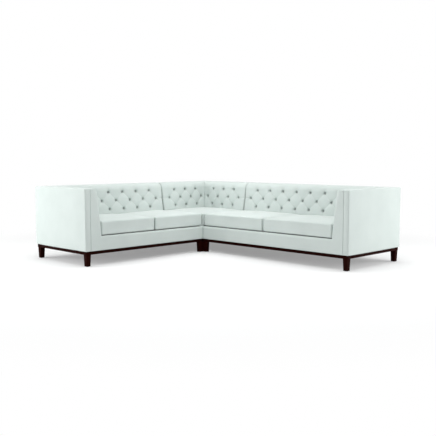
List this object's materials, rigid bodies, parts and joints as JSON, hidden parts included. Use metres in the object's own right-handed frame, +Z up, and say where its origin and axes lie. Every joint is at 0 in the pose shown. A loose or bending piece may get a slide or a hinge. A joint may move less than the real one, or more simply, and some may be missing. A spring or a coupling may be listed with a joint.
{
  "type": "corner sofa",
  "caption": "Two-module corner sofa with arms as high as its button-tufted backs, loose box seat cushions, a slim wooden plinth and tapered legs.",
  "frame": {"origin": "centre of the floor rectangle that the sofa covers, on the floor", "axes": "+X along the right wing away from the outer corner, -Y along the left wing away from the outer corner, +Z up"},
  "size_m": [2.951, 2.563, 0.783],
  "materials": {
    "cover_fabric": "plain woven upholstery fabric, matte",
    "cushion_fabric": "plain woven upholstery fabric, matte",
    "deck_cloth": "plain cloth over foam",
    "stained_wood": "dark espresso stain, satin lacquer",
    "hardwood": "bare planed hardwood",
    "webbing": "woven elastic webbing",
    "dust_cloth": "thin black non-woven cloth",
    "felt": "pressed felt",
    "steel": "zinc plated"
  },
  "bodies": {
    "corner_module": {"corner_plinth_front": "stained_wood", "corner_plinth_back": "stained_wood", "corner_plinth_return": "stained_wood", "corner_plinth_arm_end": "stained_wood", "leg_outer_corner": "stained_wood", "leg_joint_back": "stained_wood", "leg_inner_corner": "stained_wood", "leg_right_back": "stained_wood", "leg_right_front": "stained_wood", "leg_behind_pair": "stained_wood", "corner_glides": "felt", "corner_leg_bolts": "steel", "corner_base_frame": "hardwood", "corner_back_frame": "hardwood", "right_arm_frame": "hardwood", "corner_webbing": "webbing", "corner_deck": "deck_cloth", "corner_dust_cover": "dust_cloth", "long_back_panel": "cover_fabric", "return_back_panel": "cover_fabric", "right_arm_slab": "cover_fabric", "right_arm_pad": "cover_fabric", "right_seat_rail": "cover_fabric", "corner_end_panel": "cover_fabric", "corner_left_back_pad": "cover_fabric", "corner_right_back_pad": "cover_fabric", "right_wing_back_pad": "cover_fabric", "corner_left_buttons": "cover_fabric", "corner_right_buttons": "cover_fabric", "right_wing_buttons": "cover_fabric", "pin_sockets": "steel"},
    "left_module": {"left_plinth_front": "stained_wood", "left_plinth_back": "stained_wood", "left_plinth_arm_end": "stained_wood", "left_plinth_joint_end": "stained_wood", "leg_left_joint_back": "stained_wood", "leg_left_joint_front": "stained_wood", "leg_left_back": "stained_wood", "leg_left_front": "stained_wood", "left_glides": "felt", "left_leg_bolts": "steel", "left_base_frame": "hardwood", "left_back_frame": "hardwood", "left_arm_frame": "hardwood", "left_webbing": "webbing", "left_deck": "deck_cloth", "left_dust_cover": "dust_cloth", "left_back_panel": "cover_fabric", "left_arm_slab": "cover_fabric", "left_arm_pad": "cover_fabric", "left_seat_rail": "cover_fabric", "left_end_panel": "cover_fabric", "left_wing_back_pad": "cover_fabric", "left_wing_buttons": "cover_fabric", "joining_pins": "steel"},
    "corner_seat_cushion_body": {"corner_seat_cushion": "cushion_fabric"},
    "right_inner_cushion_body": {"right_inner_cushion": "cushion_fabric"},
    "right_outer_cushion_body": {"right_outer_cushion": "cushion_fabric"},
    "left_inner_cushion_body": {"left_inner_cushion": "cushion_fabric"},
    "left_outer_cushion_body": {"left_outer_cushion": "cushion_fabric"}
  },
  "joints": [
    {"name": "left_module_slide", "type": "slide", "parent": "corner_module", "child": "left_module", "axis": [0, -1, 0], "range_m": [0, 0.5]},
    {"name": "corner_seat_cushion_lift", "type": "slide", "parent": "corner_module", "child": "corner_seat_cushion_body", "axis": [0, 0, 1], "range_m": [0, 0.5]},
    {"name": "right_inner_cushion_lift", "type": "slide", "parent": "corner_module", "child": "right_inner_cushion_body", "axis": [0, 0, 1], "range_m": [0, 0.5]},
    {"name": "right_outer_cushion_lift", "type": "slide", "parent": "corner_module", "child": "right_outer_cushion_body", "axis": [0, 0, 1], "range_m": [0, 0.5]},
    {"name": "left_inner_cushion_lift", "type": "slide", "parent": "left_module", "child": "left_inner_cushion_body", "axis": [0, 0, 1], "range_m": [0, 0.5]},
    {"name": "left_outer_cushion_lift", "type": "slide", "parent": "left_module", "child": "left_outer_cushion_body", "axis": [0, 0, 1], "range_m": [0, 0.5]}
  ]
}
